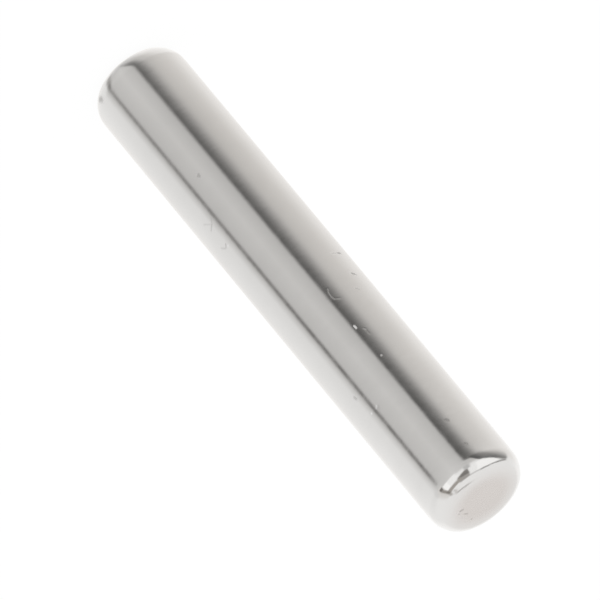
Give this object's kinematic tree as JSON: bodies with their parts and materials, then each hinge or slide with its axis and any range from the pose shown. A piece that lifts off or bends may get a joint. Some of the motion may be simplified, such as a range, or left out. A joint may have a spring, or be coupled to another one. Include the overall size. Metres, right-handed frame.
{
  "type": "dowel pin",
  "caption": "Plain cylindrical dowel pin of ground hardened steel, with a flat face and a smoothly rounded edge at each end.",
  "frame": {"origin": "centre of the lower end face, on which the pin stands", "axes": "+Z along the pin's axis, from the lower end face to the upper one; the pin is round, so X and Y are free"},
  "size_m": [0.006, 0.006, 0.036],
  "materials": {
    "ground_steel": "hardened steel, finely ground and tumbled to a bright, almost mirror finish, with a few small nicks"
  },
  "bodies": {
    "root": {"dowel_pin": "ground_steel"}
  },
  "joints": []
}
